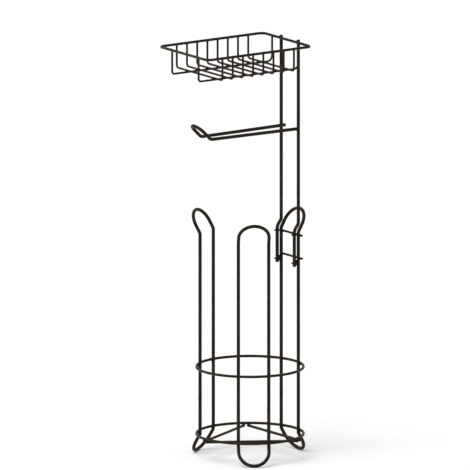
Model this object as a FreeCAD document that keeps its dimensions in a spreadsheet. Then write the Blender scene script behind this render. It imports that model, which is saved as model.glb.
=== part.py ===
# Free-standing bathroom storage holder made of bent and welded steel wire.
#
# A cage of three leg loops and two rings stands on the floor. An upright stand, two poles with a
# hanging arm and a wire shelf, drops into four eyelets on the cage's back loop and lifts out again.
#
# The origin is on the axis of the two rings, at floor level. +Z is up and +X points from that axis
# to the poles. The part is the same on both sides of the XZ plane. Lengths are in millimetres.

import FreeCAD, Part
import Sketcher
import math
import os

from FreeCAD import Placement, Rotation, Vector

# Driving sizes: name, value and meaning. Every wire's height or place is that of its centre line.
SIZES = [
    ("leg_wire", 4.8, "diameter of the leg loops' wire"),
    ("ring_wire", 3.8, "diameter of the two rings' wire"),
    ("floor_wire", 3.8, "diameter of the floor bars"),
    ("tie_wire", 3.2, "diameter of the tie bars"),
    ("eyelet_wire", 1.8, "diameter of the eyelets' wire"),
    ("pole_wire", 4.8, "diameter of the poles"),
    ("arm_wire", 4.8, "diameter of the hanging arm"),
    ("rim_wire", 3.8, "diameter of the shelf rim"),
    ("grid_wire", 3.0, "diameter of the shelf's cross and long wires"),
    ("weld_sink", 0.1, "how deep two welded wires sink into each other"),
    ("running_gap", 0.3, "play between a pole's tail and its eyelet"),
    ("cut_round", 0.5, "rounding of the cut ends of wires"),
    ("ring_radius", 74.3, "radius of both rings"),
    ("lower_ring_height", 32.3, "height of the lower ring"),
    ("middle_ring_height", 127.1, "height of the middle ring"),
    ("loop_half_width", 21.15, "half the space between a loop's two uprights"),
    ("leg_bend", 8.0, "radius of the bends where a loop leaves the upright"),
    ("foot_drop", 3.0, "how far below the lower ring the foot's bend lies"),
    ("foot_splay", 30.7, "angle of the foot from upright, in degrees"),
    ("arch_height", 313.5, "height of the bend below the top arch"),
    ("arch_run", 11.8, "straight run from that bend to the round of the arch"),
    ("arch_flare", 30.0, "angle of the arch from upright, in degrees"),
    ("floor_bar_overhang", 2.0, "how far a floor bar's end passes the ring's wire"),
    ("floor_bar_gap", 0.3, "space between a floor bar's end and the next bar"),
    ("upper_tie_drop", 5.2, "drop from the arch's bend to the upper tie bar"),
    ("tie_spacing", 32.6, "drop from the upper tie bar to the lower one"),
    ("tie_overhang", 4.0, "how far a tie bar passes the upright's centre"),
    ("upper_eyelet_drop", 3.3, "drop from the arch's bend to the upper eyelets"),
    ("eyelet_spacing", 40.2, "drop from the upper eyelets to the lower ones"),
    ("tail_overrun", 5.0, "how far the poles' tails pass the lower eyelets"),
    ("jog_gap", 1.1, "space between the top of the poles' jog and the flared arch"),
    ("jog_angle", 38.0, "angle of the jog from upright, in degrees"),
    ("jog_lower_bend", 12.0, "radius of the jog's lower bend"),
    ("jog_upper_bend", 8.0, "radius of the jog's upper bend"),
    ("pole_top_height", 586.0, "height of the poles' upper ends"),
    ("arm_drop", 127.1, "drop from the poles' upper ends to the hanging arm"),
    ("arm_reach", 140.9, "distance from the poles to the arm's upward bend"),
    ("arm_stub", 3.5, "how far the arm's ends pass the poles"),
    ("arm_tip_half_width", 12.2, "half the space between the arm's two wires at its tip"),
    ("arm_parallel_run", 8.0, "level run beside the upward bend where the two wires are parallel"),
    ("arm_narrowing_bend", 60.0, "radius of the slight bend at the start of that run"),
    ("arm_bend", 7.0, "radius of the arm's upward bend"),
    ("arm_rise", 44.5, "angle of the arm's end from level, in degrees"),
    ("arm_tip_run", 15.2, "straight run from that bend to the round of the tip"),
    ("rim_drop", 3.0, "drop from the poles' upper ends to the shelf rim"),
    ("rim_length", 174.5, "length of the rim along X"),
    ("rim_width", 119.5, "width of the rim along Y"),
    ("rim_corner", 8.0, "radius of the rim's corners"),
    ("tray_depth", 32.0, "drop from the rim to the cross wires' floor"),
    ("cross_count", 8, "number of cross wires"),
    ("cross_margin", 27.25, "distance from the rim's two ends to the nearest cross wires"),
    ("cross_bend", 4.0, "radius of the cross wires' bends"),
    ("long_half_gap", 32.7, "half the space between the two long wires"),
    ("long_front_bend", 4.0, "radius of the long wires' bend away from the poles"),
    ("long_back_bend", 8.0, "radius of the long wires' bend at the poles"),
    ("riser_rise", 0.8, "how far the shelf wires' ends pass the rim's centre"),
]

LEG_COUNT = 3
FULL_TURN = 360.0
HALF_TURN = 180.0
QUARTER_TURN = 90.0
TRIANGLE_ANGLE = 60.0
ZERO = "0"

doc = FreeCAD.newDocument("wire_holder")
sheet = doc.addObject("Spreadsheet::Sheet", "Sizes")
for row, (alias, number, meaning) in enumerate(SIZES, start=1):
    sheet.set(f"A{row}", alias)
    sheet.set(f"B{row}", str(number))
    sheet.set(f"C{row}", meaning)
    sheet.setAlias(f"B{row}", alias)
doc.recompute()

# Sizes worked out from the driving ones, as expressions in the sheet's words.
WELD = "Sizes.weld_sink"
LEG_RADIUS = "Sizes.leg_wire / 2"
POLE_RADIUS = "Sizes.pole_wire / 2"
GRID_RADIUS = "Sizes.grid_wire / 2"
# The uprights touch the inside of the rings, so the loops' plane follows from the rings' radius.
UPRIGHT_RADIUS = f"(Sizes.ring_radius - Sizes.ring_wire / 2 - {LEG_RADIUS} + {WELD})"
LOOP_OFFSET = f"sqrt({UPRIGHT_RADIUS} ^ 2 - Sizes.loop_half_width ^ 2)"
FOOT_BEND_HEIGHT = "(Sizes.lower_ring_height - Sizes.foot_drop)"
# The foot's round ends with the wire just resting on the floor.
FOOT_RUN = f"(({FOOT_BEND_HEIGHT} - {LEG_RADIUS}) / cos(Sizes.foot_splay) - Sizes.loop_half_width)"
FOOT_X = f"({LOOP_OFFSET} + {FOOT_RUN} * sin(Sizes.foot_splay))"
FOOT_Z = f"({FOOT_BEND_HEIGHT} - {FOOT_RUN} * cos(Sizes.foot_splay))"
ARCH_X = f"({LOOP_OFFSET} + Sizes.arch_run * sin(Sizes.arch_flare))"
ARCH_Z = "(Sizes.arch_height + Sizes.arch_run * cos(Sizes.arch_flare))"
# The three floor bars lie on the sides of a triangle, as near the axis as their ends leave room for.
BAR_END_SPACE = (f"(Sizes.floor_bar_overhang"
                 f" + (Sizes.floor_wire + Sizes.floor_bar_gap) / sin({TRIANGLE_ANGLE}))")
BAR_OFFSET = f"((sqrt(3) * {BAR_END_SPACE} + sqrt(4 * Sizes.ring_radius ^ 2 - {BAR_END_SPACE} ^ 2)) / 4)"
UPPER_TIE_HEIGHT = "(Sizes.arch_height - Sizes.upper_tie_drop)"
LOWER_TIE_HEIGHT = f"({UPPER_TIE_HEIGHT} - Sizes.tie_spacing)"
UPPER_EYELET_HEIGHT = "(Sizes.arch_height - Sizes.upper_eyelet_drop)"
LOWER_EYELET_HEIGHT = f"({UPPER_EYELET_HEIGHT} - Sizes.eyelet_spacing)"
# An eyelet touches its upright, and a pole's tail runs down through its middle.
EYELET_RADIUS = f"({POLE_RADIUS} + Sizes.running_gap + Sizes.eyelet_wire / 2)"
TAIL_SHIFT = f"({LEG_RADIUS} + {EYELET_RADIUS} + Sizes.eyelet_wire / 2 - {WELD})"
TAIL_X = f"({LOOP_OFFSET} - {TAIL_SHIFT})"
TAIL_END = f"({LOWER_EYELET_HEIGHT} - Sizes.tail_overrun)"
# The jog ends where the pole, back in line with the upright, clears the flare of the arch.
JOG_CLEARANCE = f"({LEG_RADIUS} + {POLE_RADIUS} + Sizes.jog_gap)"
JOG_UPPER_Z = f"(Sizes.arch_height + {JOG_CLEARANCE} / sin(Sizes.arch_flare))"
JOG_LOWER_Z = f"({JOG_UPPER_Z} - {TAIL_SHIFT} / tan(Sizes.jog_angle))"
# The arm's two wires lie against the inner sides of the poles and draw together towards the tip.
ARM_HALF_WIDTH = f"(Sizes.loop_half_width - {POLE_RADIUS} - Sizes.arm_wire / 2 + {WELD})"
ARM_HEIGHT = "(Sizes.pole_top_height - Sizes.arm_drop)"
ARM_BEND_X = f"({LOOP_OFFSET} - Sizes.arm_reach)"
ARM_NARROW_X = f"({ARM_BEND_X} + Sizes.arm_parallel_run)"
ARM_SLOPE = f"(({ARM_HALF_WIDTH} - Sizes.arm_tip_half_width) / ({LOOP_OFFSET} - {ARM_NARROW_X}))"
ARM_TIP_X = f"({ARM_BEND_X} - Sizes.arm_tip_run * cos(Sizes.arm_rise))"
ARM_TIP_Z = f"({ARM_HEIGHT} + Sizes.arm_tip_run * sin(Sizes.arm_rise))"
# The rim's back side lies against the poles, on the tray's side of them.
RIM_HEIGHT = "(Sizes.pole_top_height - Sizes.rim_drop)"
RIM_BACK_X = f"({LOOP_OFFSET} - {POLE_RADIUS} - Sizes.rim_wire / 2 + {WELD})"
RIM_FRONT_X = f"({RIM_BACK_X} - Sizes.rim_length)"
RIM_MIDDLE_X = f"({RIM_BACK_X} - Sizes.rim_length / 2)"
RIM_SIDE_Y = "(Sizes.rim_width / 2)"
# The shelf's wires rise inside the rim, and the cross wires lie on the long wires.
RISER_INSET = f"(Sizes.rim_wire / 2 + {GRID_RADIUS} - {WELD})"
RISER_TOP = f"({RIM_HEIGHT} + Sizes.riser_rise)"
CROSS_FLOOR = f"({RIM_HEIGHT} - Sizes.tray_depth)"
CROSS_PITCH = "((Sizes.rim_length - 2 * Sizes.cross_margin) / (Sizes.cross_count - 1))"
LONG_FLOOR = f"({CROSS_FLOOR} - Sizes.grid_wire + {WELD})"


def value(expression):
    """The number that an expression has now."""
    return float(sheet.evalExpression(expression))


def origin_plane(body, role):
    """One of a body's own origin planes or axes."""
    return next(part for part in body.Origin.OriginFeatures if part.Role == role)


def new_body(label):
    body = doc.addObject("PartDesign::Body", label)
    body.Label = label
    return body


def new_sketch(body, name, role, shift=(ZERO, ZERO, ZERO), tilt=None):
    """A sketch on an origin plane, shifted in that plane's own axes and tilted about its Y axis."""
    sketch = body.newObject("Sketcher::SketchObject", name)
    sketch.AttachmentSupport = [(origin_plane(body, role), "")]
    sketch.MapMode = "FlatFace"
    start = Vector(*[value(part) for part in shift])
    turn = Rotation(Vector(0, 1, 0), value(tilt)) if tilt else Rotation()
    sketch.AttachmentOffset = Placement(start, turn)
    for axis, part in zip("xyz", shift):
        if part != ZERO:
            sketch.setExpression(f"AttachmentOffset.Base.{axis}", part)
    if tilt:
        sketch.setExpression("AttachmentOffset.Rotation.Angle", tilt)
    return sketch


def bind(sketch, constraint, name, expression):
    """Adds a constraint and ties its value to the sheet."""
    index = sketch.addConstraint(constraint)
    sketch.renameConstraint(index, name)
    sketch.setExpression(f"Constraints.{name}", expression)


def pin_point(sketch, geometry, point, name, across, up):
    """Places a sketch point by its two distances from the sketch's origin."""
    for kind, tag, expression in (("DistanceX", "x", across), ("DistanceY", "y", up)):
        constraint = Sketcher.Constraint(kind, -1, 1, geometry, point, value(expression))
        bind(sketch, constraint, f"{name}_{tag}", expression)


def wire_section(body, name, role, shift, across, up, diameter, tilt=None):
    """The round cross-section of a wire."""
    sketch = new_sketch(body, name, role, shift, tilt)
    centre = Vector(value(across), value(up), 0)
    circle = sketch.addGeometry(Part.Circle(centre, Vector(0, 0, 1), value(diameter) / 2), False)
    pin_point(sketch, circle, 3, "centre", across, up)
    bind(sketch, Sketcher.Constraint("Diameter", circle, value(diameter)), "wire", diameter)
    return sketch


def wire_path(body, name, role, shift, corners, bends, closed=False):
    """A wire's centre line: straight runs between placed corners, rounded by tangent arcs.

    The sheet places the corners of a construction line. The runs lie on that line, and bends gives
    the radius of the arc at each rounded corner.
    """
    sketch = new_sketch(body, name, role, shift)
    points = [Vector(value(across), value(up), 0) for across, up in corners]
    count = len(points)
    runs = count if closed else count - 1
    guides = []
    for index in range(runs):
        line = Part.LineSegment(points[index], points[(index + 1) % count])
        guides.append(sketch.addGeometry(line, True))
    for index in range(runs if closed else runs - 1):
        following = guides[(index + 1) % runs]
        sketch.addConstraint(Sketcher.Constraint("Coincident", guides[index], 2, following, 1))
    for index, (across, up) in enumerate(corners):
        guide, end = (guides[index], 1) if index < runs else (guides[-1], 2)
        pin_point(sketch, guide, end, f"corner_{index}", across, up)

    rounded = {index: rounding(points, index, value(radius)) for index, radius in bends.items()}
    lines = []
    for index in range(runs):
        after = (index + 1) % count
        begin = rounded[index][1] if index in rounded else points[index]
        finish = rounded[after][0] if after in rounded else points[after]
        line = sketch.addGeometry(Part.LineSegment(begin, finish), False)
        for end, corner in ((1, index), (2, after)):
            if corner in rounded:
                on_guide = Sketcher.Constraint("PointOnObject", line, end, guides[index])
            else:
                on_guide = Sketcher.Constraint("Coincident", line, end, guides[index], end)
            sketch.addConstraint(on_guide)
        lines.append(line)
    for index, (leave, rejoin, centre) in rounded.items():
        turns_left = (leave - centre).cross(rejoin - centre).z > 0
        first, last = (leave, rejoin) if turns_left else (rejoin, leave)
        circle = Part.Circle(centre, Vector(0, 0, 1), (leave - centre).Length)
        ends = [math.atan2(point.y - centre.y, point.x - centre.x) for point in (first, last)]
        arc = sketch.addGeometry(Part.ArcOfCircle(circle, *ends), False)
        leave_end, rejoin_end = (1, 2) if turns_left else (2, 1)
        sketch.addConstraint(Sketcher.Constraint("Tangent", lines[index - 1], 2, arc, leave_end))
        sketch.addConstraint(Sketcher.Constraint("Tangent", arc, rejoin_end, lines[index], 1))
        radius = Sketcher.Constraint("Radius", arc, circle.Radius)
        bind(sketch, radius, f"bend_{index}", bends[index])
    return sketch


def rounding(points, index, radius):
    """Where the arc at a corner leaves and rejoins the runs, and its centre."""
    corner = points[index]
    back = (points[index - 1] - corner).normalize()
    ahead = (points[(index + 1) % len(points)] - corner).normalize()
    half = back.getAngle(ahead) / 2
    reach = radius / math.tan(half)
    middle = (back + ahead).normalize()
    return corner + back * reach, corner + ahead * reach, corner + middle * (radius / math.sin(half))


def sweep_wire(body, section, path, name="Wire"):
    """The wire itself: its section carried along its path."""
    pipe = body.newObject("PartDesign::AdditivePipe", name)
    pipe.Profile = section
    pipe.Spine = path
    doc.recompute()
    return pipe


def half_round(body, section, name, backwards):
    """A half circle of wire, turned about the section sketch's own X axis."""
    bend = body.newObject("PartDesign::Revolution", name)
    bend.Profile = section
    bend.ReferenceAxis = (section, ["H_Axis"])
    bend.Angle = HALF_TURN
    bend.Reversed = backwards
    doc.recompute()
    return bend


def mirror_half(body, features, name):
    """The same wire on the other side of the XZ plane."""
    mirrored = body.newObject("PartDesign::Mirrored", name)
    mirrored.Originals = features
    mirrored.MirrorPlane = (origin_plane(body, "XZ_Plane"), [""])
    body.Tip = mirrored
    doc.recompute()


def round_cut_ends(body):
    """Takes the sharp edge off the flat cut ends of a wire."""
    wire = body.Tip
    shape = wire.Shape
    flat = [face.OuterWire.Edges[0] for face in shape.Faces if isinstance(face.Surface, Part.Plane)]
    names = [
        f"Edge{number}"
        for number, edge in enumerate(shape.Edges, start=1)
        if any(edge.isSame(other) for other in flat)
    ]
    fillet = body.newObject("PartDesign::Fillet", "CutEnds")
    fillet.Base = (wire, names)
    fillet.setExpression("Radius", "Sizes.cut_round")
    doc.recompute()


def leg_loop(label, position):
    """One closed leg loop: two bent uprights, a flared top arch and a splayed foot."""
    body = new_body(label)
    foot = wire_section(body, "FootSection", "XY_Plane", (FOOT_X, ZERO, FOOT_Z), ZERO,
                        "-Sizes.loop_half_width", "Sizes.leg_wire", "-Sizes.foot_splay")
    arch = wire_section(body, "ArchSection", "XY_Plane", (ARCH_X, ZERO, ARCH_Z), ZERO,
                        "-Sizes.loop_half_width", "Sizes.leg_wire", "Sizes.arch_flare")
    corners = [
        (FOOT_X, FOOT_Z),
        (LOOP_OFFSET, FOOT_BEND_HEIGHT),
        (LOOP_OFFSET, "Sizes.arch_height"),
        (ARCH_X, ARCH_Z),
    ]
    bends = {1: "Sizes.leg_bend", 2: "Sizes.leg_bend"}
    path = wire_path(body, "UprightPath", "XZ_Plane", (ZERO, ZERO, "Sizes.loop_half_width"),
                     corners, bends)
    upright = sweep_wire(body, foot, path, "Upright")
    half_round(body, foot, "Foot", False)
    half_round(body, arch, "Arch", True)
    mirror_half(body, [upright], "OtherUpright")
    body.Placement = Placement(Vector(), Rotation(Vector(0, 0, 1), position * FULL_TURN / LEG_COUNT))
    return body


def ring(label, height):
    """A ring that runs round the outside of all the uprights."""
    body = new_body(label)
    section = wire_section(body, "Section", "XZ_Plane", (ZERO, ZERO, ZERO), "Sizes.ring_radius",
                           height, "Sizes.ring_wire")
    turned = body.newObject("PartDesign::Revolution", "Ring")
    turned.Profile = section
    turned.ReferenceAxis = (section, ["V_Axis"])
    turned.Angle = FULL_TURN
    doc.recompute()
    return body


def straight_bar(label, across, height, half_length, diameter, position=0):
    """A straight bar parallel to Y with its cut ends rounded."""
    body = new_body(label)
    section = wire_section(body, "Section", "XZ_Plane", (ZERO, ZERO, ZERO), across, height, diameter)
    bar = body.newObject("PartDesign::Pad", "Bar")
    bar.Profile = section
    bar.Midplane = True
    bar.Length = 2 * value(half_length)
    bar.setExpression("Length", f"2 * {half_length}")
    doc.recompute()
    round_cut_ends(body)
    body.Placement = Placement(Vector(), Rotation(Vector(0, 0, 1), position * FULL_TURN / LEG_COUNT))
    return body


def floor_bar(label, position):
    """A bar under the lower ring, welded to it near both ends."""
    height = "(Sizes.lower_ring_height - Sizes.ring_wire / 2 - Sizes.floor_wire / 2 + Sizes.weld_sink)"
    half = f"(sqrt(Sizes.ring_radius ^ 2 - {BAR_OFFSET} ^ 2) + Sizes.floor_bar_overhang)"
    return straight_bar(label, BAR_OFFSET, height, half, "Sizes.floor_wire", position)


def tie_bar(label, height):
    """A thin bar across the outside of the back loop's uprights."""
    across = f"({LOOP_OFFSET} + {LEG_RADIUS} + Sizes.tie_wire / 2 - {WELD})"
    half = "(Sizes.loop_half_width + Sizes.tie_overhang)"
    return straight_bar(label, across, height, half, "Sizes.tie_wire")


def eyelet(label, side, height):
    """A small ring on the inside of an upright, round the pole's tail."""
    torus = doc.addObject("Part::Torus", label)
    torus.Label = label
    torus.setExpression("Radius1", EYELET_RADIUS)
    torus.setExpression("Radius2", "Sizes.eyelet_wire / 2")
    torus.setExpression("Placement.Base.x", TAIL_X)
    torus.setExpression("Placement.Base.y", f"{side} * Sizes.loop_half_width")
    torus.setExpression("Placement.Base.z", height)
    return torus


def pole(label, side):
    """An upright pole with a jog and a straight tail below it."""
    body = new_body(label)
    section = wire_section(body, "Section", "XY_Plane", (ZERO, ZERO, TAIL_END), TAIL_X,
                           f"{side} * Sizes.loop_half_width", "Sizes.pole_wire")
    corners = [
        (TAIL_X, TAIL_END),
        (TAIL_X, JOG_LOWER_Z),
        (LOOP_OFFSET, JOG_UPPER_Z),
        (LOOP_OFFSET, "Sizes.pole_top_height"),
    ]
    bends = {1: "Sizes.jog_lower_bend", 2: "Sizes.jog_upper_bend"}
    shift = (ZERO, ZERO, f"{-side} * Sizes.loop_half_width")
    path = wire_path(body, "Path", "XZ_Plane", shift, corners, bends)
    sweep_wire(body, section, path)
    round_cut_ends(body)
    return body


def hanger_arm(label):
    """The arm: two level wires from the poles, turned up at the end and joined by a round tip."""
    body = new_body(label)
    # Both runs of a side start from a section in the middle of the parallel run.
    middle_x = f"({ARM_BEND_X} + Sizes.arm_parallel_run / 2)"
    tip_y = "-Sizes.arm_tip_half_width"
    middle = wire_section(body, "MiddleSection", "YZ_Plane", (ZERO, ZERO, middle_x), tip_y,
                          ARM_HEIGHT, "Sizes.arm_wire")
    tip = wire_section(body, "TipSection", "XY_Plane", (ARM_TIP_X, ZERO, ARM_TIP_Z), ZERO, tip_y,
                       "Sizes.arm_wire", f"-({QUARTER_TURN} - Sizes.arm_rise)")
    end_y = f"-({ARM_HALF_WIDTH} + {ARM_SLOPE} * Sizes.arm_stub)"
    corners = [
        (middle_x, tip_y),
        (ARM_NARROW_X, tip_y),
        (f"({LOOP_OFFSET} + Sizes.arm_stub)", end_y),
    ]
    path = wire_path(body, "LevelPath", "XY_Plane", (ZERO, ZERO, ARM_HEIGHT), corners,
                     {1: "Sizes.arm_narrowing_bend"})
    level = sweep_wire(body, middle, path, "Level")
    corners = [(middle_x, ARM_HEIGHT), (ARM_BEND_X, ARM_HEIGHT), (ARM_TIP_X, ARM_TIP_Z)]
    path = wire_path(body, "RisePath", "XZ_Plane", (ZERO, ZERO, "Sizes.arm_tip_half_width"), corners,
                     {1: "Sizes.arm_bend"})
    rise = sweep_wire(body, middle, path, "Rise")
    half_round(body, tip, "Tip", True)
    mirror_half(body, [level, rise], "OtherSide")
    round_cut_ends(body)
    return body


def shelf_rim(label):
    """The rim: a rounded rectangle bent from one wire."""
    body = new_body(label)
    start_x = f"({RIM_FRONT_X} + Sizes.rim_corner)"
    section = wire_section(body, "Section", "YZ_Plane", (ZERO, ZERO, start_x), f"-{RIM_SIDE_Y}",
                           RIM_HEIGHT, "Sizes.rim_wire")
    corners = [
        (RIM_FRONT_X, f"-{RIM_SIDE_Y}"),
        (RIM_BACK_X, f"-{RIM_SIDE_Y}"),
        (RIM_BACK_X, RIM_SIDE_Y),
        (RIM_FRONT_X, RIM_SIDE_Y),
    ]
    bends = {index: "Sizes.rim_corner" for index in range(len(corners))}
    path = wire_path(body, "Path", "XY_Plane", (ZERO, ZERO, RIM_HEIGHT), corners, bends, True)
    sweep_wire(body, section, path)
    return body


def shelf_wire(label, role, shift, low, high, floor, low_bend, high_bend):
    """A U-shaped wire that hangs from the inside of the rim: up, across and up again."""
    body = new_body(label)
    path = wire_path(body, "Path", role, shift, [(low, RISER_TOP), (low, floor), (high, floor),
                                                 (high, RISER_TOP)], {1: low_bend, 2: high_bend})
    if role == "XZ_Plane":
        across, up = low, f"-({shift[2]})"
    else:
        across, up = shift[2], low
    section = wire_section(body, "Section", "XY_Plane", (ZERO, ZERO, RISER_TOP), across, up,
                           "Sizes.grid_wire")
    sweep_wire(body, section, path)
    round_cut_ends(body)
    return body


def cross_wire(number):
    """One of the cross wires that make the tray's floor and long sides."""
    step = f"({number} - (Sizes.cross_count + 1) / 2)"
    across = f"({RIM_MIDDLE_X} + {step} * {CROSS_PITCH})"
    side = f"({RIM_SIDE_Y} - {RISER_INSET})"
    return shelf_wire(f"shelf_cross_wire_{number}", "YZ_Plane", (ZERO, ZERO, across), f"-{side}", side,
                      CROSS_FLOOR, "Sizes.cross_bend", "Sizes.cross_bend")


def long_wire(label, side):
    """One of the two long wires that the cross wires lie on."""
    shift = (ZERO, ZERO, f"{-side} * Sizes.long_half_gap")
    front = f"({RIM_FRONT_X} + {RISER_INSET})"
    back = f"({RIM_BACK_X} - {RISER_INSET})"
    return shelf_wire(label, "XZ_Plane", shift, front, back, LONG_FLOOR, "Sizes.long_front_bend",
                      "Sizes.long_back_bend")


LEFT = 1
RIGHT = -1

cage = [
    leg_loop("back_leg_loop", 0),
    leg_loop("left_leg_loop", 1),
    leg_loop("right_leg_loop", 2),
    ring("lower_ring", "Sizes.lower_ring_height"),
    ring("middle_ring", "Sizes.middle_ring_height"),
    floor_bar("floor_bar_back", 0),
    floor_bar("floor_bar_left", 1),
    floor_bar("floor_bar_right", 2),
    tie_bar("upper_tie_bar", UPPER_TIE_HEIGHT),
    tie_bar("lower_tie_bar", LOWER_TIE_HEIGHT),
    eyelet("upper_left_eyelet", LEFT, UPPER_EYELET_HEIGHT),
    eyelet("upper_right_eyelet", RIGHT, UPPER_EYELET_HEIGHT),
    eyelet("lower_left_eyelet", LEFT, LOWER_EYELET_HEIGHT),
    eyelet("lower_right_eyelet", RIGHT, LOWER_EYELET_HEIGHT),
]
stand = [
    pole("left_pole", LEFT),
    pole("right_pole", RIGHT),
    hanger_arm("hanger_arm"),
    shelf_rim("shelf_rim"),
    long_wire("shelf_long_wire_left", LEFT),
    long_wire("shelf_long_wire_right", RIGHT),
]
stand += [cross_wire(number) for number in range(1, int(value("Sizes.cross_count")) + 1)]
doc.recompute()

# Nothing is written unless every object is sound.
for thing in doc.Objects:
    if "Invalid" in thing.State or "Error" in thing.State:
        raise RuntimeError(f"{thing.Label} failed: {thing.State}")
for piece in cage + stand:
    shape = piece.Shape
    if shape.isNull() or not shape.isValid() or len(shape.Solids) != 1:
        raise RuntimeError(f"{piece.Label} is not one sound solid")

os.makedirs("parts", exist_ok=True)
for piece in cage + stand:
    piece.Shape.exportStep(f"parts/{piece.Label}.step")
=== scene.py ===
import math

import bpy
from mathutils import Matrix, Vector


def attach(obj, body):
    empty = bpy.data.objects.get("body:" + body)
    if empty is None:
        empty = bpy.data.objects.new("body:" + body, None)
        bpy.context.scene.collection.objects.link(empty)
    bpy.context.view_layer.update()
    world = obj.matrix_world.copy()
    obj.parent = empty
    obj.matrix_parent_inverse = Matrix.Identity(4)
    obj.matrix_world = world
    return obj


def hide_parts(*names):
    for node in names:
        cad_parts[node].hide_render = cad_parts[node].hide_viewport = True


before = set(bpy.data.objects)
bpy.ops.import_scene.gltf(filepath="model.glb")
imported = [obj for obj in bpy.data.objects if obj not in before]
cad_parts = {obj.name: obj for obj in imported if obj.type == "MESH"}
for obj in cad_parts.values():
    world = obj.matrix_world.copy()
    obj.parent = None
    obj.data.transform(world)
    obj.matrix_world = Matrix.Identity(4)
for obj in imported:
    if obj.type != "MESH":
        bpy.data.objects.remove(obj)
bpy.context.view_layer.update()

# Leg loops: three closed loops of heavy steel wire that carry the whole stand. Each is bent round at
# the foot and at the top arch, splayed at both ends, butt welded and dipped in dark bronze powder
# coat, which is thin and rubbed on the round of the foot.
leg_wire = 0.0048
leg_count = 3
ring_radius = 0.0743
ring_wire = 0.0038
weld_sink = 0.0001
loop_half_width = 0.02115
leg_bend = 0.008
lower_ring_height = 0.0323
foot_bend_drop = 0.003
foot_bend_height = lower_ring_height - foot_bend_drop
foot_splay = math.radians(30.7)
arch_height = 0.3135
arch_run = 0.0118
arch_flare = math.radians(30)
seam_height = 0.08
bend_step = math.radians(5)
heavy_sides = 24
seam_swell = 0.06
deep_bronze = (0.0086, 0.0053, 0.0033, 1)
warm_bronze = (0.0220, 0.0132, 0.0078, 1)
flake_bronze = (0.070, 0.046, 0.029, 1)
# Bare-steel tone: the colour of rubbed wear, and also of the rim's painted highlight.
bare_steel_and_highlight = (0.13, 0.098, 0.072, 1)
cloud_scale = 90.0
peel_scale = 1300.0
flake_scale = 3800.0
wear_and_highlight_scale = 420.0
noise_low = 0.3
noise_high = 0.7
warm_start = 0.35
warmest = 0.75
wear_and_highlight_start = 0.84
wear_and_highlight_full = 1.0
most_wear_and_highlight = 0.34
gloss_swing = 0.06
bump_strength = 0.6
foot_rub = ("Z", 0.006, 0.0)


def place(tree, kind, inputs=(), **settings):
    """Adds a node, with its settings, and fills or links its inputs."""
    node = tree.nodes.new(kind)
    for name, value in settings.items():
        setattr(node, name, value)
    for name, value in dict(inputs).items():
        if isinstance(value, bpy.types.NodeSocket):
            tree.links.new(value, node.inputs[name])
        else:
            node.inputs[name].default_value = value
    return node


def node_group(name, kind, inputs, outputs):
    """An empty node group with named sockets, and its input and output nodes."""
    tree = bpy.data.node_groups.new(name, kind)
    for label, sort, value in inputs:
        socket = tree.interface.new_socket(label, in_out="INPUT", socket_type=f"NodeSocket{sort}")
        if value is not None:
            socket.default_value = value
    for label, sort in outputs:
        tree.interface.new_socket(label, in_out="OUTPUT", socket_type=f"NodeSocket{sort}")
    return tree, tree.nodes.new("NodeGroupInput").outputs, tree.nodes.new("NodeGroupOutput").inputs


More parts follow.
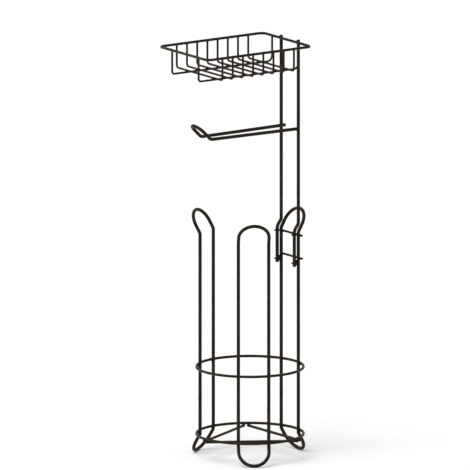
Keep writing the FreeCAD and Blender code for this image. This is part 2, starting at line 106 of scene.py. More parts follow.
def powder_coat_group():
    """Bronze powder coat: cloudy tone, fine metal flakes, orange peel, and a bare-steel tone for rubbed
    places and painted highlights.
    """
    tree, given, result = node_group("powder coat", "ShaderNodeTree", [
        ("Place", "Vector", None),
        ("Deep colour", "Color", deep_bronze),
        ("Warm colour", "Color", warm_bronze),
        ("Flake share", "Float", 0.05),
        ("Wear and highlight", "Float", 0.0),
        ("Roughness", "Float", 0.42),
    ], [("Colour", "Color"), ("Roughness", "Float"), ("Metallic", "Float"), ("Height", "Float")])
    cloud = place(tree, "ShaderNodeTexNoise", {"Vector": given["Place"], "Scale": cloud_scale,
                                               "Detail": 4.0})
    peel = place(tree, "ShaderNodeTexNoise", {"Vector": given["Place"], "Scale": peel_scale,
                                              "Detail": 2.0})
    flake = place(tree, "ShaderNodeTexVoronoi", {"Vector": given["Place"], "Scale": flake_scale})
    flake_pick = place(tree, "ShaderNodeSeparateColor", {"Color": flake.outputs["Color"]})
    flake_mask = place(tree, "ShaderNodeMath", {0: flake_pick.outputs[0], 1: given["Flake share"]},
                       operation="LESS_THAN")
    tone = place(tree, "ShaderNodeMapRange", {"Value": cloud.outputs["Fac"], "From Min": warm_start,
                                              "From Max": noise_high, "To Min": 0.0,
                                              "To Max": warmest})
    coat = place(tree, "ShaderNodeMix", {0: tone.outputs[0], 6: given["Deep colour"],
                                         7: given["Warm colour"]}, data_type="RGBA")
    speck = place(tree, "ShaderNodeMix", {0: flake_mask.outputs[0], 6: coat.outputs[2],
                                          7: flake_bronze}, data_type="RGBA")
    # Bare-steel patches: rubbed wear, and on the rim a painted highlight.
    wear_and_highlight_noise = place(tree, "ShaderNodeTexNoise", {"Vector": given["Place"], "Scale": wear_and_highlight_scale,
                                                   "Detail": 6.0, "Roughness": 0.65})
    wear_and_highlight_sum = place(tree, "ShaderNodeMath", {0: wear_and_highlight_noise.outputs["Fac"], 1: given["Wear and highlight"]},
                    operation="ADD")
    wear_and_highlight_mask = place(tree, "ShaderNodeMapRange", {"Value": wear_and_highlight_sum.outputs[0],
                                                  "From Min": wear_and_highlight_start, "From Max": wear_and_highlight_full})
    worn_and_highlit = place(tree, "ShaderNodeMix", {0: wear_and_highlight_mask.outputs[0], 6: speck.outputs[2], 7: bare_steel_and_highlight},
                 data_type="RGBA")
    tree.links.new(worn_and_highlit.outputs[2], result["Colour"])
    gloss_change = place(tree, "ShaderNodeMapRange", {"Value": cloud.outputs["Fac"],
                                                      "From Min": noise_low, "From Max": noise_high,
                                                      "To Min": -gloss_swing, "To Max": gloss_swing})
    gloss = place(tree, "ShaderNodeMath", {0: given["Roughness"], 1: gloss_change.outputs[0]},
                  operation="ADD")
    tree.links.new(gloss.outputs[0], result["Roughness"])
    metal = place(tree, "ShaderNodeMath", {0: flake_mask.outputs[0], 1: wear_and_highlight_mask.outputs[0]},
                  operation="MAXIMUM")
    tree.links.new(metal.outputs[0], result["Metallic"])
    tree.links.new(peel.outputs["Fac"], result["Height"])
    return tree


powder_coat = powder_coat_group()


def coat_material(name, values, wear_and_highlight=None, peel_depth=0.00004, gloss_level=0.07):
    """A material of powder coat. The argument for rubbed wear and painted highlight names an axis, or
    the radius from the upright axis, and the places along it where the bare-steel tone starts and is
    full, and where it has stopped again if it does."""
    material = bpy.data.materials.new(name)
    material.use_nodes = True
    tree = material.node_tree
    tree.nodes.clear()
    where = place(tree, "ShaderNodeTexCoord").outputs["Object"]
    coat = place(tree, "ShaderNodeGroup", node_tree=powder_coat)
    tree.links.new(where, coat.inputs["Place"])
    for label, value in values.items():
        coat.inputs[label].default_value = value
    if wear_and_highlight:
        axis, start, full = wear_and_highlight[:3]
        if axis == "radius":
            plan = place(tree, "ShaderNodeVectorMath", {0: where, 1: (1, 1, 0)}, operation="MULTIPLY")
            along = place(tree, "ShaderNodeVectorMath", {0: plan.outputs[0]},
                          operation="LENGTH").outputs["Value"]
        else:
            along = place(tree, "ShaderNodeSeparateXYZ", {0: where}).outputs[axis]
        rubbed_and_highlit = place(tree, "ShaderNodeMapRange", {"Value": along, "From Min": start,
                                                    "From Max": full, "To Min": 0.0,
                                                    "To Max": most_wear_and_highlight})
        if len(wear_and_highlight) > 3:
            spared = place(tree, "ShaderNodeMapRange", {"Value": along, "From Min": full,
                                                        "From Max": wear_and_highlight[3], "To Min": 1.0,
                                                        "To Max": 0.0})
            rubbed_and_highlit = place(tree, "ShaderNodeMath", {0: rubbed_and_highlit.outputs[0], 1: spared.outputs[0]},
                           operation="MULTIPLY")
        tree.links.new(rubbed_and_highlit.outputs[0], coat.inputs["Wear and highlight"])
    bump = place(tree, "ShaderNodeBump", {"Height": coat.outputs["Height"], "Distance": peel_depth,
                                          "Strength": bump_strength})
    shader = place(tree, "ShaderNodeBsdfPrincipled", {
        "Base Color": coat.outputs["Colour"], "Roughness": coat.outputs["Roughness"],
        "Metallic": coat.outputs["Metallic"], "Normal": bump.outputs[0],
        "Specular IOR Level": gloss_level})
    place(tree, "ShaderNodeOutputMaterial", {"Surface": shader.outputs[0]})
    return material


def arc_points(centre, first, second, sweep):
    """Points on an arc from centre + first, turning towards centre + second."""
    steps = max(2, round(abs(sweep) / bend_step))
    turns = [sweep * index / steps for index in range(steps + 1)]
    return [centre + first * math.cos(turn) + second * math.sin(turn) for turn in turns]


def bent_run(corners, bends):
    """A wire's centre line through corners, with an arc of its own radius at each inner corner."""
    corners = [Vector(corner) for corner in corners]
    points = [corners[0]]
    for index, radius in enumerate(bends, start=1):
        corner = corners[index]
        back = (corners[index - 1] - corner).normalized()
        ahead = (corners[index + 1] - corner).normalized()
        half = back.angle(ahead) / 2
        centre = corner + (back + ahead).normalized() * (radius / math.sin(half))
        leave = corner + back * (radius / math.tan(half))
        points += arc_points(centre, leave - centre, -back * radius, math.pi - 2 * half)
    return points + [corners[-1]]


def swollen_seam(points, shoulder=0.0008, reach=0.0022, shoulder_share=0.8):
    """A closed centre line with points at the butt weld in its first point, and the wire's thickness
    at each point as a share of its own."""
    first = points[0]
    ahead = (points[1] - first).normalized()
    behind = (points[-1] - first).normalized()
    half_swollen = 1 + seam_swell * shoulder_share
    line = [first, first + ahead * shoulder, first + ahead * reach] + points[1:]
    line += [first + behind * reach, first + behind * shoulder]
    return line, [1 + seam_swell, half_swollen, 1.0] + [1.0] * (len(points) - 1) + [1.0, half_swollen]


def cut_end(end, inner, wire, cut_round=0.0005):
    """The points of an open wire's rounded cut, from the end inwards, and the thickness at each."""
    inward = (inner - end).normalized()
    points = [end]
    thick = [1 - cut_round / (wire / 2)]
    for turn in (math.radians(30), math.radians(60), math.radians(90)):
        points.append(end + inward * cut_round * (1 - math.cos(turn)))
        thick.append(1 - cut_round * (1 - math.sin(turn)) / (wire / 2))
    return points, thick


def path_mesh(name, points, closed=False, wire=None):
    """The centre line as a mesh of edges. An open wire's ends thin out to a rounded cut, and a closed
    wire swells a little at its first point, where its ends are butt welded."""
    if closed:
        points, thick = swollen_seam(points)
    else:
        start, start_thick = cut_end(points[0], points[1], wire)
        end, end_thick = cut_end(points[-1], points[-2], wire)
        thick = start_thick + [1.0] * (len(points) - 2) + end_thick[::-1]
        points = start + list(points[1:-1]) + end[::-1]
    count = len(points)
    edges = [(index, (index + 1) % count) for index in range(count if closed else count - 1)]
    mesh = bpy.data.meshes.new(name)
    mesh.from_pydata(points, edges, [])
    mesh.attributes.new("thick", "FLOAT", "POINT").data.foreach_set("value", thick)
    return mesh


def wire_nodes(tree, given, path):
    """The nodes that turn a centre line into smooth wire."""
    line = place(tree, "GeometryNodeMeshToCurve", {"Mesh": path})
    thick = place(tree, "GeometryNodeInputNamedAttribute", {"Name": "thick"}, data_type="FLOAT")
    half = place(tree, "ShaderNodeMath", {0: given["Wire"], 1: 0.5}, operation="MULTIPLY")
    section = place(tree, "GeometryNodeCurvePrimitiveCircle", {"Resolution": given["Sides"],
                                                               "Radius": half.outputs[0]})
    swept = place(tree, "GeometryNodeCurveToMesh", {
        "Curve": line.outputs[0], "Profile Curve": section.outputs[0], "Scale": thick.outputs[0],
        "Fill Caps": True})
    return place(tree, "GeometryNodeSetShadeSmooth", {"Geometry": swept.outputs[0]}).outputs[0]


def coated(tree, given, result, shape):
    """The end of every wire tree: real geometry with its coat."""
    real = place(tree, "GeometryNodeRealizeInstances", {"Geometry": shape})
    coat = place(tree, "GeometryNodeSetMaterial", {"Geometry": real.outputs[0],
                                                   "Material": given["Coat"]})
    tree.links.new(coat.outputs[0], result["Shape"])


def made_by(tree, name, mesh, values):
    """Runs a tree on a mesh and keeps what it makes as a plain mesh at the origin."""
    piece = bpy.data.objects.new(name, mesh)
    bpy.context.scene.collection.objects.link(piece)
    modifier = piece.modifiers.new("make", "NODES")
    modifier.node_group = tree
    for item in tree.interface.items_tree:
        if item.in_out == "INPUT" and item.name in values:
            modifier[item.identifier] = values[item.name]
    shape = piece.evaluated_get(bpy.context.evaluated_depsgraph_get())
    piece.data = bpy.data.meshes.new_from_object(shape)
    piece.modifiers.clear()
    piece.data.name = name
    return piece


wire_sockets = [("Path", "Geometry", None), ("Wire", "Float", leg_wire), ("Sides", "Int", 20),
                ("Coat", "Material", None)]


def turned_wires_tree():
    """Copies of one bent wire, spaced evenly round the upright axis."""
    tree, given, result = node_group("wires round an axis", "GeometryNodeTree",
                                     wire_sockets + [("Count", "Int", leg_count)],
                                     [("Shape", "Geometry")])
    wire = wire_nodes(tree, given, given["Path"])
    spots = place(tree, "GeometryNodeMeshLine", {"Count": given["Count"], "Offset": (0, 0, 0)})
    number = place(tree, "GeometryNodeInputIndex")
    turn = place(tree, "ShaderNodeMath", {0: number.outputs[0], 1: math.tau}, operation="MULTIPLY")
    part = place(tree, "ShaderNodeMath", {0: turn.outputs[0], 1: given["Count"]}, operation="DIVIDE")
    spin = place(tree, "ShaderNodeCombineXYZ", {"Z": part.outputs[0]})
    copies = place(tree, "GeometryNodeInstanceOnPoints", {
        "Points": spots.outputs[0], "Instance": wire, "Rotation": spin.outputs[0]})
    coated(tree, given, result, copies.outputs[0])
    return tree


upright_radius = ring_radius - ring_wire / 2 - leg_wire / 2 + weld_sink
loop_offset = math.sqrt(upright_radius ** 2 - loop_half_width ** 2)
foot_run = (foot_bend_height - leg_wire / 2) / math.cos(foot_splay) - loop_half_width
foot_out = Vector((math.sin(foot_splay), 0, -math.cos(foot_splay)))
arch_out = Vector((math.sin(arch_flare), 0, math.cos(arch_flare)))
foot_bend = Vector((loop_offset, 0, foot_bend_height))
arch_bend = Vector((loop_offset, 0, arch_height))
foot_centre = foot_bend + foot_out * foot_run
arch_centre = arch_bend + arch_out * arch_run
side = Vector((0, loop_half_width, 0))
seam = Vector((loop_offset, 0, seam_height))
loop_line = bent_run([seam + side, arch_bend + side, arch_centre + side], [leg_bend])[:-1]
loop_line += arc_points(arch_centre, side, arch_out * loop_half_width, math.pi)[:-1]
loop_line += bent_run([arch_centre - side, arch_bend - side, foot_bend - side, foot_centre - side],
                      [leg_bend, leg_bend])[:-1]
loop_line += arc_points(foot_centre, -side, foot_out * loop_half_width, math.pi)[:-1]
loop_line += bent_run([foot_centre + side, foot_bend + side, seam + side], [leg_bend])[:-1]
leg_coat = coat_material("leg coat", {"Roughness": 0.40}, wear_and_highlight=foot_rub)
leg_loops = made_by(turned_wires_tree(), "leg_loops", path_mesh("leg loop line", loop_line, closed=True),
                    {"Wire": leg_wire, "Sides": heavy_sides, "Coat": leg_coat, "Count": leg_count})
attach(leg_loops, "cage")
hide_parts("back_leg_loop", "left_leg_loop", "right_leg_loop")

# Rings: two rings of lighter wire, bent round and butt welded, that run outside all the uprights
# and hold the loops together. The ends meet in a slightly thicker place between two loops.
ring_heights = {"lower_ring": lower_ring_height, "middle_ring": 0.1271}
ring_joint_turn = math.radians(60)
ring_joint_length = 0.004
ring_joint_swell = 0.05
ring_sides = 20
ring_rub = ("radius", ring_radius + 0.0012, ring_radius + 0.0022)


def ring_tree():
    """One round ring of wire with a thicker place where its ends are welded."""
    tree, given, result = node_group("butt-welded ring", "GeometryNodeTree", [
        ("Path", "Geometry", None), ("Radius", "Float", ring_radius), ("Wire", "Float", ring_wire),
        ("Sides", "Int", 20), ("Height", "Float", 0.0), ("Centre", "Vector", None),
        ("Joint turn", "Float", 0.0), ("Joint length", "Float", ring_joint_length),
        ("Joint swell", "Float", ring_joint_swell), ("Steps", "Int", 144), ("Coat", "Material", None),
    ], [("Shape", "Geometry")])
    circle = place(tree, "GeometryNodeCurvePrimitiveCircle", {"Resolution": given["Steps"],
                                                              "Radius": given["Radius"]})
    half = place(tree, "ShaderNodeMath", {0: given["Wire"], 1: 0.5}, operation="MULTIPLY")
    section = place(tree, "GeometryNodeCurvePrimitiveCircle", {"Resolution": given["Sides"],
                                                               "Radius": half.outputs[0]})
    where = place(tree, "GeometryNodeInputPosition")
    joint = place(tree, "ShaderNodeCombineXYZ", {"X": given["Radius"]})
    gap = place(tree, "ShaderNodeVectorMath", {0: where.outputs[0], 1: joint.outputs[0]},
                operation="DISTANCE")
    swell = place(tree, "ShaderNodeMapRange", {"Value": gap.outputs["Value"], "From Min": 0.0,
                                               "From Max": given["Joint length"],
                                               "To Min": given["Joint swell"], "To Max": 0.0},
                  interpolation_type="SMOOTHSTEP")
    thick = place(tree, "ShaderNodeMath", {0: swell.outputs[0], 1: 1.0}, operation="ADD")
    swept = place(tree, "GeometryNodeCurveToMesh", {
        "Curve": circle.outputs[0], "Profile Curve": section.outputs[0], "Scale": thick.outputs[0]})
    smooth = place(tree, "GeometryNodeSetShadeSmooth", {"Geometry": swept.outputs[0]})
    lift = place(tree, "ShaderNodeCombineXYZ", {"Z": given["Height"]})
    spot = place(tree, "ShaderNodeVectorMath", {0: lift.outputs[0], 1: given["Centre"]},
                 operation="ADD")
    spin = place(tree, "ShaderNodeCombineXYZ", {"Z": given["Joint turn"]})
    moved = place(tree, "GeometryNodeTransform", {"Geometry": smooth.outputs[0],
                                                  "Translation": spot.outputs[0],
                                                  "Rotation": spin.outputs[0]})
    coated(tree, given, result, moved.outputs[0])
    return tree


butt_welded_ring = ring_tree()
ring_coat = coat_material("ring coat", {"Roughness": 0.43, "Flake share": 0.07}, wear_and_highlight=ring_rub)
for node, height in ring_heights.items():
    ring = made_by(butt_welded_ring, f"{node}_wire", bpy.data.meshes.new(node), {
        "Radius": ring_radius, "Wire": ring_wire, "Sides": ring_sides, "Height": height,
        "Joint turn": ring_joint_turn, "Coat": ring_coat})
    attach(ring, "cage")
    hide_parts(node)

# Floor bars: three short straight bars, cut to length and welded under the lower ring in a triangle,
# that carry what stands in the well.
floor_wire = 0.0038
floor_bar_overhang = 0.002
floor_bar_gap = 0.0003
bar_height = lower_ring_height - ring_wire / 2 - floor_wire / 2 + weld_sink
end_space = floor_bar_overhang + (floor_wire + floor_bar_gap) / math.sin(math.radians(60))
bar_offset = (math.sqrt(3) * end_space + math.sqrt(4 * ring_radius ** 2 - end_space ** 2)) / 4
bar_half = math.sqrt(ring_radius ** 2 - bar_offset ** 2) + floor_bar_overhang
bar_line = [Vector((bar_offset, -bar_half, bar_height)), Vector((bar_offset, bar_half, bar_height))]
floor_bars = made_by(bpy.data.node_groups["wires round an axis"], "floor_bars",
                     path_mesh("floor bar line", bar_line, wire=floor_wire),
                     {"Wire": floor_wire, "Sides": ring_sides, "Coat": ring_coat,
                      "Count": leg_count})
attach(floor_bars, "cage")
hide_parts("floor_bar_back", "floor_bar_left", "floor_bar_right")

# Tie bars: two thin bars welded across the outside of the back loop's uprights, where the stand's
# tails push against the loop.
tie_wire = 0.0032
tie_sides = 16
tie_overhang = 0.004
tie_drops = {"upper_tie_bar": 0.0052, "lower_tie_bar": 0.0378}
tie_heights = {node: arch_height - drop for node, drop in tie_drops.items()}
tie_x = loop_offset + leg_wire / 2 + tie_wire / 2 - weld_sink
tie_half = loop_half_width + tie_overhang


def single_wire_tree():
    """One wire along one line."""
    tree, given, result = node_group("single wire", "GeometryNodeTree", wire_sockets,
                                     [("Shape", "Geometry")])
    coated(tree, given, result, wire_nodes(tree, given, given["Path"]))
    return tree


single_wire = single_wire_tree()
thin_coat = coat_material("thin wire coat", {"Roughness": 0.45, "Flake share": 0.08})
for node, height in tie_heights.items():
    tie_line = [Vector((tie_x, -tie_half, height)), Vector((tie_x, tie_half, height))]
    tie_bar = made_by(single_wire, f"{node}_wire", path_mesh(node, tie_line, wire=tie_wire),
                      {"Wire": tie_wire, "Sides": tie_sides, "Coat": thin_coat})
    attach(tie_bar, "cage")
    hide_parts(node)

# Eyelets: four small rings of thin wire welded to the inside of the back loop's uprights. The tails
# of the stand slide down through them.
eyelet_wire = 0.0018
eyelet_sides = 14
eyelet_steps = 40
pole_wire = 0.0048
running_gap = 0.0003
eyelet_radius = pole_wire / 2 + running_gap + eyelet_wire / 2
tail_shift = leg_wire / 2 + eyelet_radius + eyelet_wire / 2 - weld_sink
tail_x = loop_offset - tail_shift
eyelet_drop = 0.0033
eyelet_spacing = 0.0402
upper_eyelet_height = arch_height - eyelet_drop
eyelet_heights = {"upper": upper_eyelet_height, "lower": upper_eyelet_height - eyelet_spacing}
for storey, height in eyelet_heights.items():
    for hand, sign in (("left", 1), ("right", -1)):
        node = f"{storey}_{hand}_eyelet"
        eyelet = made_by(butt_welded_ring, f"{node}_wire", bpy.data.meshes.new(node), {
            "Radius": eyelet_radius, "Wire": eyelet_wire, "Sides": eyelet_sides, "Height": height,
            "Centre": (tail_x, sign * loop_half_width, 0.0), "Joint swell": 0.0,
            "Steps": eyelet_steps, "Coat": thin_coat})
        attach(eyelet, "cage")
        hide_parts(node)

# Poles: the stand's two uprights, of the same heavy wire as the legs. Each has a jog above its tail,
# so that the tail runs inside the back loop and the pole above stands in line with it.
tail_overhang = 0.005
tail_end = eyelet_heights["lower"] - tail_overhang
# The tail's lower end turns paler, towards a bare-steel tone.
paler_tail_end = ("Z", 0.272, 0.264)
jog_gap = 0.0011
jog_angle = math.radians(38)
jog_bends = (0.012, 0.008)
pole_top = 0.586
jog_upper = arch_height + (leg_wire / 2 + pole_wire / 2 + jog_gap) / math.sin(arch_flare)
jog_lower = jog_upper - tail_shift / math.tan(jog_angle)
pole_coat = coat_material("pole coat", {"Roughness": 0.38}, wear_and_highlight=paler_tail_end)
for hand, sign in (("left", 1), ("right", -1)):
    y = sign * loop_half_width
    pole_line = bent_run([(tail_x, y, tail_end), (tail_x, y, jog_lower), (loop_offset, y, jog_upper),
                          (loop_offset, y, pole_top)], jog_bends)
    pole = made_by(single_wire, f"{hand}_pole_wire", path_mesh(f"{hand} pole line", pole_line,
                                                               wire=pole_wire),
                   {"Wire": pole_wire, "Sides": heavy_sides, "Coat": pole_coat})
    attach(pole, "stand")
    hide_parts(f"{hand}_pole")

# Hanging arm: one heavy wire bent to a long U, welded level between the poles. Its two sides draw
# together towards the round end, which is turned up. The coat is rubbed along the top, where things
# slide on and off.
arm_wire = 0.0048
arm_drop = 0.1271
arm_height = pole_top - arm_drop
arm_reach = 0.1409
arm_stub = 0.0035
arm_tip_half_width = 0.0122
arm_parallel_run = 0.008
arm_bends = (0.060, 0.007)
arm_rise = math.radians(44.5)
arm_tip_run = 0.0152
arm_rub = ("Z", arm_height + 0.001, arm_height + 0.0024, arm_height + 0.006)
arm_half_width = loop_half_width - pole_wire / 2 - arm_wire / 2 + weld_sink
arm_slope = (arm_half_width - arm_tip_half_width) / (arm_reach - arm_parallel_run)
arm_end = Vector((loop_offset + arm_stub, arm_half_width + arm_slope * arm_stub, arm_height))
arm_side = Vector((0, arm_tip_half_width, 0))
arm_up = Vector((-math.cos(arm_rise), 0, math.sin(arm_rise)))
arm_corner = Vector((loop_offset - arm_reach, 0, arm_height))
arm_narrow = arm_corner + Vector((arm_parallel_run, 0, 0))
arm_tip = arm_corner + arm_up * arm_tip_run
arm_left = bent_run([arm_end, arm_narrow + arm_side, arm_corner + arm_side, arm_tip + arm_side],
                    arm_bends)
arm_right = [Vector((point.x, -point.y, point.z)) for point in reversed(arm_left)]
arm_line = arm_left[:-1] + arc_points(arm_tip, arm_side, arm_up * arm_tip_half_width, math.pi)
arm_line += arm_right[1:]
arm_coat = coat_material("arm coat", {"Roughness": 0.36}, wear_and_highlight=arm_rub)
hanging_arm = made_by(single_wire, "hanging_arm_wire", path_mesh("arm line", arm_line, wire=arm_wire),
                      {"Wire": arm_wire, "Sides": heavy_sides, "Coat": arm_coat})
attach(hanging_arm, "stand")
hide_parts("hanger_arm")

# Shelf rim: a rounded rectangle bent from one wire, butt welded at the back between the poles, where
# its back side is welded against them. A painted highlight, a pale bare-steel tone in the coat, lies on
# the outside of the front end, the side that faces the key and side lamps.
rim_wire = 0.0038
rim_drop = 0.003
rim_height = pole_top - rim_drop
rim_length = 0.1745
rim_width = 0.1195
rim_corner = 0.008
rim_back = loop_offset - pole_wire / 2 - rim_wire / 2 + weld_sink
rim_front = rim_back - rim_length
# Painted highlight: bare-steel tone on the outside of the rim's front end, where the lamps light it.
rim_painted_highlight = ("X", rim_front - 0.0001, rim_front - 0.0012)
rim_side = rim_width / 2
rim_line = bent_run([(rim_back, 0, rim_height), (rim_back, rim_side, rim_height),
                     (rim_front, rim_side, rim_height), (rim_front, -rim_side, rim_height),
                     (rim_back, -rim_side, rim_height), (rim_back, 0, rim_height)],
                    [rim_corner] * 4)[:-1]
rim_coat = coat_material("rim coat", {"Roughness": 0.40}, wear_and_highlight=rim_painted_highlight)
shelf_rim = made_by(single_wire, "shelf_rim_wire", path_mesh("rim line", rim_line, closed=True),
                    {"Wire": rim_wire, "Sides": ring_sides, "Coat": rim_coat})
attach(shelf_rim, "stand")
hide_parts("shelf_rim")

# Long shelf wires: two U-shaped wires that hang from the rim's short sides and run the length of the
# tray, welded to the inside of the rim.
grid_wire = 0.003
grid_sides = 18
tray_depth = 0.032
riser_inset = rim_wire / 2 + grid_wire / 2 - weld_sink
riser_above = 0.0008
riser_top = rim_height + riser_above
cross_floor = rim_height - tray_depth
long_floor = cross_floor - grid_wire + weld_sink
long_half_gap = 0.0327
long_bends = (0.004, 0.008)
for hand, sign in (("left", 1), ("right", -1)):
    y = sign * long_half_gap
    front, back = rim_front + riser_inset, rim_back - riser_inset
    long_line = bent_run([(front, y, riser_top), (front, y, long_floor), (back, y, long_floor),
                          (back, y, riser_top)], long_bends)
    long_wire = made_by(single_wire, f"shelf_long_{hand}_wire",
                        path_mesh(f"{hand} long line", long_line, wire=grid_wire),
                        {"Wire": grid_wire, "Sides": grid_sides, "Coat": thin_coat})
    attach(long_wire, "stand")
    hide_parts(f"shelf_long_wire_{hand}")

# Cross wires: eight equal U-shaped wires that make the tray's floor and long sides. They lie on the
# two long wires, spot welded at every crossing.
cross_count = 8
cross_margin = 0.02725
cross_bend = 0.004
cross_pitch = (rim_length - 2 * cross_margin) / (cross_count - 1)
cross_first = rim_front + cross_margin
cross_side = rim_side - riser_inset
cross_top = cross_floor + grid_wire / 2
cross_rub = ("Z", cross_top - 0.0008, cross_top, cross_top + 0.0012)
cross_coat = coat_material("cross wire coat", {"Roughness": 0.44, "Flake share": 0.08}, wear_and_highlight=cross_rub)


def row_of_wires_tree():
    """Copies of one bent wire in a row along X."""
    tree, given, result = node_group("wires in a row", "GeometryNodeTree",
                                     wire_sockets + [("Count", "Int", cross_count),
                                                     ("Pitch", "Float", cross_pitch)],
                                     [("Shape", "Geometry")])
    wire = wire_nodes(tree, given, given["Path"])
    step = place(tree, "ShaderNodeCombineXYZ", {"X": given["Pitch"]})
    row = place(tree, "GeometryNodeMeshLine", {"Count": given["Count"], "Offset": step.outputs[0]})
    copies = place(tree, "GeometryNodeInstanceOnPoints", {"Points": row.outputs[0],
                                                          "Instance": wire})
    coated(tree, given, result, copies.outputs[0])
    return tree


cross_line = bent_run([(cross_first, -cross_side, riser_top), (cross_first, -cross_side, cross_floor),
                       (cross_first, cross_side, cross_floor), (cross_first, cross_side, riser_top)],
                      [cross_bend, cross_bend])
cross_wires = made_by(row_of_wires_tree(), "shelf_cross_wires",
                      path_mesh("cross line", cross_line, wire=grid_wire),
                      {"Wire": grid_wire, "Sides": grid_sides, "Coat": cross_coat,
                       "Count": cross_count, "Pitch": cross_pitch})
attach(cross_wires, "stand")
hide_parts(*[f"shelf_cross_wire_{number}" for number in range(1, cross_count + 1)])

# Cage welds: a small bead of steel stands round each place where two wires of the cage are joined. The
# same coat covers it, a little rougher than on the wire.
bead_width = 0.0021
bead_depth = 0.00078
bead_lumps = 0.09
least_bead = 0.88
most_bead = 1.1
ring_bead = 1.15
bar_bead = 1.1
tie_bead = 1.0
eyelet_bead = 0.7


def bead_tree():
    """A flattened, slightly uneven bead at each joint, square to the line between the two wires."""
    tree, given, result = node_group("weld beads", "GeometryNodeTree", [
        ("Path", "Geometry", None), ("Width", "Float", bead_width), ("Depth", "Float", bead_depth),
        ("Seed", "Int", 4), ("Coat", "Material", None)], [("Shape", "Geometry")])
    ball = place(tree, "GeometryNodeMeshIcoSphere", {"Radius": 1.0, "Subdivisions": 3})
    lumps = place(tree, "ShaderNodeTexNoise", {"Scale": 1.6, "Detail": 2.0})
    push = place(tree, "ShaderNodeMapRange", {"Value": lumps.outputs["Fac"], "From Min": noise_low,
                                              "From Max": noise_high, "To Min": -bead_lumps,
                                              "To Max": bead_lumps})
    normal = place(tree, "GeometryNodeInputNormal")
    offset = place(tree, "ShaderNodeVectorMath", {0: normal.outputs[0], "Scale": push.outputs[0]},
                   operation="SCALE")
    uneven = place(tree, "GeometryNodeSetPosition", {"Geometry": ball.outputs[0],
                                                     "Offset": offset.outputs[0]})
    smooth = place(tree, "GeometryNodeSetShadeSmooth", {"Geometry": uneven.outputs[0]})
    facing = place(tree, "GeometryNodeInputNamedAttribute", {"Name": "facing"},
                   data_type="FLOAT_VECTOR")
    turned = place(tree, "FunctionNodeAlignRotationToVector", {"Vector": facing.outputs[0]}, axis="Z")
    spun = place(tree, "FunctionNodeRandomValue", {2: 0.0, 3: math.tau, "Seed": given["Seed"]},
                 data_type="FLOAT")
    twist = place(tree, "ShaderNodeCombineXYZ", {"Z": spun.outputs[1]})
    both = place(tree, "FunctionNodeRotateRotation", {"Rotation": turned.outputs[0],
                                                      "Rotate By": twist.outputs[0]},
                 rotation_space="LOCAL")
    size = place(tree, "GeometryNodeInputNamedAttribute", {"Name": "size"}, data_type="FLOAT")
    change = place(tree, "FunctionNodeRandomValue", {2: least_bead, 3: most_bead,
                                                     "Seed": given["Seed"]}, data_type="FLOAT")
    grown = place(tree, "ShaderNodeMath", {0: size.outputs[0], 1: change.outputs[1]},
                  operation="MULTIPLY")
    box = place(tree, "ShaderNodeCombineXYZ", {"X": given["Width"], "Y": given["Width"],
                                               "Z": given["Depth"]})
    scaled = place(tree, "ShaderNodeVectorMath", {0: box.outputs[0], "Scale": grown.outputs[0]},
                   operation="SCALE")
    beads = place(tree, "GeometryNodeInstanceOnPoints", {
        "Points": given["Path"], "Instance": smooth.outputs[0], "Rotation": both.outputs[0],
        "Scale": scaled.outputs[0]})
    coated(tree, given, result, beads.outputs[0])
    return tree


def joint_mesh(name, joints):
    """The places of joints, each with the direction from one wire to the other and a size."""
    mesh = bpy.data.meshes.new(name)
    mesh.from_pydata([spot for spot, _, _ in joints], [], [])
    facing = mesh.attributes.new("facing", "FLOAT_VECTOR", "POINT")
    facing.data.foreach_set("vector", [part for _, way, _ in joints for part in way])
    mesh.attributes.new("size", "FLOAT", "POINT").data.foreach_set(
        "value", [size for _, _, size in joints])
    return mesh


def turned_joints(joints):
    """The same joints at each of the three loops."""
    turns = [Matrix.Rotation(math.tau * number / leg_count, 3, "Z") for number in range(leg_count)]
    return [(turn @ spot, turn @ way, size) for turn in turns for spot, way, size in joints]


weld_coat = coat_material("weld coat", {"Roughness": 0.5, "Flake share": 0.04}, peel_depth=0.00006)
weld_beads = bead_tree()
cage_joints = []
for sign in (1, -1):
    outward = Vector((loop_offset, sign * loop_half_width, 0)).normalized()
    for height in ring_heights.values():
        spot = outward * (upright_radius + leg_wire / 2) + Vector((0, 0, height))
        cage_joints.append((spot, outward, ring_bead))
    bar_end = Vector((bar_offset, sign * (bar_half - floor_bar_overhang), bar_height + floor_wire / 2))
    cage_joints.append((bar_end, Vector((0, 0, 1)), bar_bead))
cage_joints = turned_joints(cage_joints)
for sign in (1, -1):
    for height in tie_heights.values():
        spot = Vector((loop_offset + leg_wire / 2, sign * loop_half_width, height))
        cage_joints.append((spot, Vector((1, 0, 0)), tie_bead))
    for height in eyelet_heights.values():
        spot = Vector((loop_offset - leg_wire / 2, sign * loop_half_width, height))
        cage_joints.append((spot, Vector((1, 0, 0)), eyelet_bead))
cage_welds = made_by(weld_beads, "cage_welds", joint_mesh("cage joints", cage_joints),
                     {"Coat": weld_coat})
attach(cage_welds, "cage")

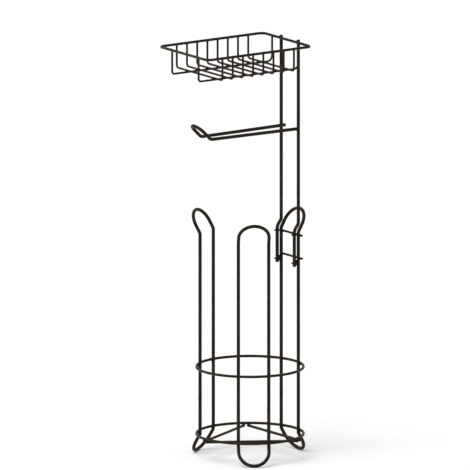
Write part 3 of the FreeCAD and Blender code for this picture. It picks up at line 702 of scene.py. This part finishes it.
# Weld runs: an upright run of weld on the inside of each back upright, beside the lower eyelet, fixes
# the eyelet against the pull of the stand. Its ripple shows under the coat.
run_wire = 0.0016
run_below = 0.0036
run_above = 0.0047
run_steps = 14
run_ripple = 0.07
ripple_turn = 2.1
run_x = loop_offset - leg_wire / 2 - run_wire / 2 + weld_sink
for hand, sign in (("left", 1), ("right", -1)):
    rise = Vector((0, 0, (run_below + run_above) / run_steps))
    start = Vector((run_x, sign * loop_half_width, eyelet_heights["lower"] - run_below))
    run_mesh = path_mesh(f"{hand} weld run", [start + rise * step for step in range(run_steps + 1)],
                         wire=run_wire)
    ripple = [value.value for value in run_mesh.attributes["thick"].data]
    ripple = [share * (1 + run_ripple * math.sin(index * ripple_turn))
              for index, share in enumerate(ripple)]
    run_mesh.attributes["thick"].data.foreach_set("value", ripple)
    weld_run = made_by(single_wire, f"{hand}_weld_run", run_mesh,
                       {"Wire": run_wire, "Sides": eyelet_sides, "Coat": weld_coat})
    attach(weld_run, "cage")

# Stand welds: the same beads join the arm and the rim to the poles, the shelf's wires to the rim, and
# the cross wires to the long ones.
arm_bead = 1.2
rim_bead = 1.15
riser_bead = 0.85
crossing_bead = 0.8
stand_joints = []
for sign in (1, -1):
    pole_side = Vector((loop_offset, sign * (loop_half_width - pole_wire / 2), arm_height))
    stand_joints.append((pole_side, Vector((0, 1, 0)), arm_bead))
    pole_front = Vector((loop_offset - pole_wire / 2, sign * loop_half_width, rim_height))
    stand_joints.append((pole_front, Vector((1, 0, 0)), rim_bead))
    for x, way in ((rim_front + rim_wire / 2, 1), (rim_back - rim_wire / 2, -1)):
        riser_spot = Vector((x, sign * long_half_gap, rim_height))
        stand_joints.append((riser_spot, Vector((way, 0, 0)), riser_bead))
    for number in range(cross_count):
        x = cross_first + number * cross_pitch
        rim_spot = Vector((x, sign * (rim_side - rim_wire / 2), rim_height))
        stand_joints.append((rim_spot, Vector((0, sign, 0)), riser_bead))
        floor_spot = Vector((x, sign * long_half_gap, long_floor + grid_wire / 2))
        stand_joints.append((floor_spot, Vector((0, 0, 1)), crossing_bead))
stand_welds = made_by(weld_beads, "stand_welds", joint_mesh("stand joints", stand_joints),
                      {"Coat": weld_coat})
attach(stand_welds, "stand")

# Floor: a plain white studio floor, matt and very slightly cloudy, that runs out of sight on all
# sides and takes the soft shadows. The three feet stand on it.
half_floor = 60.0
palest_floor = 0.952
deepest_floor = 0.942
floor_mesh = bpy.data.meshes.new("floor")
floor_mesh.from_pydata([(-half_floor, -half_floor, 0), (half_floor, -half_floor, 0),
                        (half_floor, half_floor, 0), (-half_floor, half_floor, 0)], [], [(0, 1, 2, 3)])
floor = bpy.data.objects.new("floor", floor_mesh)
bpy.context.scene.collection.objects.link(floor)
floor_finish = bpy.data.materials.new("white floor")
floor_finish.use_nodes = True
floor_tree = floor_finish.node_tree
floor_tree.nodes.clear()
floor_place = place(floor_tree, "ShaderNodeTexCoord")
floor_grain = place(floor_tree, "ShaderNodeTexNoise", {"Vector": floor_place.outputs["Object"],
                                                       "Scale": 6.0, "Detail": 3.0})
floor_tone = place(floor_tree, "ShaderNodeMapRange", {"Value": floor_grain.outputs["Fac"],
                                                      "To Min": deepest_floor,
                                                      "To Max": palest_floor})
floor_shader = place(floor_tree, "ShaderNodeBsdfPrincipled", {
    "Base Color": floor_tone.outputs[0], "Roughness": 0.9, "Specular IOR Level": 0.0})
place(floor_tree, "ShaderNodeOutputMaterial", {"Surface": floor_shader.outputs[0]})
floor_mesh.materials.append(floor_finish)

# Light: an even white room, with a large soft lamp above, a tall one beside the stand on the camera's
# left, which draws the sheen along upright wires, and a weak one on the right.
view_turn = math.radians(-34.22)
view_rise = math.radians(11.3)
room_light = 0.45


def soft_sun(name, turn, rise, strength, spread):
    """A wide soft light from a direction given by its turn from the camera and its height."""
    lamp = bpy.data.lights.new(name, "SUN")
    lamp.energy = strength
    lamp.angle = math.radians(spread)
    holder = bpy.data.objects.new(name, lamp)
    bpy.context.scene.collection.objects.link(holder)
    bearing = view_turn + math.radians(turn)
    rise = math.radians(rise)
    towards = Vector((math.sin(bearing) * math.cos(rise), -math.cos(bearing) * math.cos(rise),
                      math.sin(rise)))
    holder.rotation_euler = towards.to_track_quat("Z", "Y").to_euler()


soft_sun("key light", turn=-40, rise=60, strength=1.9, spread=40)
soft_sun("side light", turn=-80, rise=8, strength=1.6, spread=26)
soft_sun("fill light", turn=60, rise=35, strength=0.3, spread=60)
world = bpy.data.worlds.new("white room")
bpy.context.scene.world = world
world.use_nodes = True
room = world.node_tree
room.nodes.clear()
ray = place(room, "ShaderNodeLightPath")
gloss_or_glass = place(room, "ShaderNodeMath", {0: ray.outputs["Is Glossy Ray"],
                                                1: ray.outputs["Is Transmission Ray"]},
                       operation="MAXIMUM")
seen = place(room, "ShaderNodeMath", {0: ray.outputs["Is Camera Ray"], 1: gloss_or_glass.outputs[0]},
             operation="MAXIMUM")
dim = place(room, "ShaderNodeBackground", {"Color": (1, 1, 1, 1), "Strength": room_light})
white = place(room, "ShaderNodeBackground", {"Color": (1, 1, 1, 1), "Strength": 1.0})
backdrop = place(room, "ShaderNodeMixShader", {0: seen.outputs[0], 1: dim.outputs[0],
                                               2: white.outputs[0]})
place(room, "ShaderNodeOutputWorld", {"Surface": backdrop.outputs[0]})
bpy.context.scene.view_settings.view_transform = "Standard"

# Camera: a parallel view, because the photograph shows no perspective, at the photograph's height and
# turn.
camera_distance = 20.0
frame_width = 0.65295
view_centre = Vector((0.0166, 0.0615, 0.3013))
camera_data = bpy.data.cameras.new("camera")
camera_data.type = "ORTHO"
camera_data.ortho_scale = frame_width
camera_data.clip_end = 3 * camera_distance
camera = bpy.data.objects.new("camera", camera_data)
bpy.context.scene.collection.objects.link(camera)
towards_camera = Vector((math.sin(view_turn) * math.cos(view_rise),
                         -math.cos(view_turn) * math.cos(view_rise), math.sin(view_rise)))
camera.location = view_centre + towards_camera * camera_distance
camera.rotation_euler = towards_camera.to_track_quat("Z", "Y").to_euler()
bpy.context.scene.camera = camera
